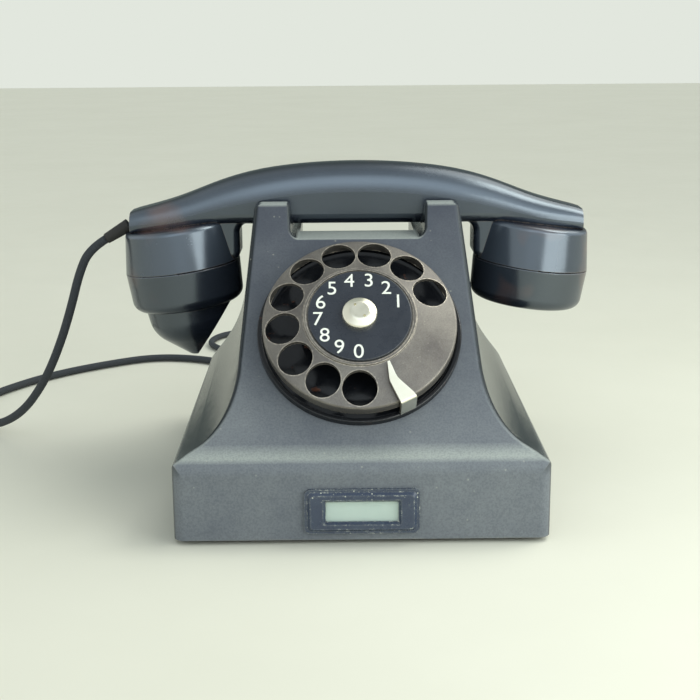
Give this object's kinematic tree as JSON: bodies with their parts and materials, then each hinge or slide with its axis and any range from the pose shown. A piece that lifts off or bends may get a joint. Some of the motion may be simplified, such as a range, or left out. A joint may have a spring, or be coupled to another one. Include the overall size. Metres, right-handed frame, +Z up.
{
  "type": "rotary telephone",
  "caption": "Desk telephone with a finger-wheel dial on a sloped face, a pronged cradle, a handset with a speech horn, and its bell, switch and dial works inside.",
  "frame": {"origin": "middle of the footprint of the telephone and handset, on the surface it stands on", "axes": "+X to the right seen from the front, +Y to the back, +Z up"},
  "size_m": [0.3068, 0.3639, 0.1364],
  "materials": {
    "bakelite": "worn moulded phenolic, matte on the face, glossier on the sides",
    "handset_bakelite": "moulded phenolic, polished by hands, brown at the worn places",
    "card_frame_plastic": "glossy moulded frame with worn edges",
    "card_paper": "blank pale card",
    "clear_window": "clear sheet over the card",
    "black_enamel": "black enamel",
    "worn_bronze": "lacquered wheel worn to bronze grey",
    "number_enamel": "dark blue enamel with pale figures",
    "nickel": "nickel plate",
    "steel": "plain steel",
    "brass": "turned brass",
    "winding": "enamelled wire under varnished cloth",
    "insulator": "brown laminate",
    "plunger_nickel": "nickel plate",
    "capsule_metal": "pressed metal",
    "rubber": "black rubber",
    "cord_braid": "woven textile braid over the wires",
    "tie_tape": "cotton tape",
    "plug_plastic": "moulded plug"
  },
  "bodies": {
    "base": {"casing": "bakelite", "base_plate": "steel", "base_screws": "steel", "feet": "rubber", "card_frame": "card_frame_plastic", "card": "card_paper", "card_window": "clear_window", "dial_case": "black_enamel", "dial_lock_ring": "steel", "trough_plate": "black_enamel", "finger_stop": "nickel", "mainspring": "steel", "dial_back_plate": "steel", "pulse_contacts": "brass", "governor_drum": "brass", "plunger_guides": "insulator", "hook_bracket": "steel", "hook_pin": "steel", "hook_contacts": "brass", "gong_left": "brass", "gong_right": "brass", "gong_posts": "steel", "gong_screws": "steel", "ringer_yoke": "steel", "ringer_cores": "steel", "ringer_coils": "winding", "clapper_pin": "steel", "induction_coil": "winding", "capacitor": "steel", "terminal_block": "insulator", "terminal_screws": "steel", "handset_cord_gland": "rubber", "line_cord_gland": "rubber", "handset_cord": "cord_braid", "line_cord": "cord_braid", "line_cord_coil": "cord_braid", "coil_tie": "tie_tape", "line_plug": "plug_plastic"},
    "dial": {"finger_wheel": "worn_bronze", "number_disc": "number_enamel", "centre_nut": "nickel", "dial_shaft": "steel", "main_gear": "brass"},
    "impulse": {"impulse_spindle": "steel", "impulse_pinion": "brass", "impulse_cam": "brass"},
    "governor": {"governor_spindle": "steel", "governor_pinion": "brass", "governor_weights": "brass"},
    "handset": {"handset_handle": "handset_bakelite", "ear_cap": "handset_bakelite", "mouth_cap": "handset_bakelite", "receiver_unit": "capsule_metal", "transmitter_unit": "capsule_metal", "handset_contacts": "brass", "handset_cord_sleeve": "rubber"},
    "left_plunger": {"plunger_left": "plunger_nickel"},
    "right_plunger": {"plunger_right": "plunger_nickel"},
    "hook": {"hook_lever": "steel"},
    "clapper": {"clapper": "steel"}
  },
  "joints": [
    {"name": "dial_turn", "type": "hinge", "parent": "base", "child": "dial", "pos_m": [0, -0.0482, 0.0799], "axis": [0, 0.7254, -0.6884], "range_deg": [0, 315], "stiffness_Nm_per_rad": 0.01},
    {"name": "impulse_spin", "type": "hinge", "parent": "base", "child": "impulse", "pos_m": [0.01268, -0.03309, 0.09582], "axis": [0, 0.7254, -0.6884], "range_deg": [-1576, 0]},
    {"name": "governor_spin", "type": "hinge", "parent": "base", "child": "governor", "pos_m": [-0.01232, -0.0629, 0.06442], "axis": [0, 0.7254, -0.6884], "range_deg": [-1891, 0]},
    {"name": "handset_lift", "type": "slide", "parent": "base", "child": "handset", "axis": [0, 0, 1], "range_m": [0, 0.09], "deforming": ["handset_cord"]},
    {"name": "left_plunger_slide", "type": "slide", "parent": "base", "child": "left_plunger", "axis": [0, 0, 1], "range_m": [0, 0.005]},
    {"name": "right_plunger_slide", "type": "slide", "parent": "base", "child": "right_plunger", "axis": [0, 0, 1], "range_m": [0, 0.005]},
    {"name": "hook_tilt", "type": "hinge", "parent": "base", "child": "hook", "pos_m": [0, 0.046, 0.0837], "axis": [-1, 0, 0], "range_deg": [0, 13.5]},
    {"name": "clapper_swing", "type": "hinge", "parent": "base", "child": "clapper", "pos_m": [0, 0.0091, 0.022], "axis": [0, 0, 1], "range_deg": [-3.5, 3.5]}
  ],
  "couplings": [
    {"joint": "impulse_spin", "follows": "dial_turn", "ratio": -5},
    {"joint": "governor_spin", "follows": "dial_turn", "ratio": -6},
    {"joint": "left_plunger_slide", "follows": "handset_lift", "ratio": 0.0555},
    {"joint": "right_plunger_slide", "follows": "handset_lift", "ratio": 0.0555},
    {"joint": "hook_tilt", "follows": "handset_lift", "rad_per_m": 2.61}
  ]
}
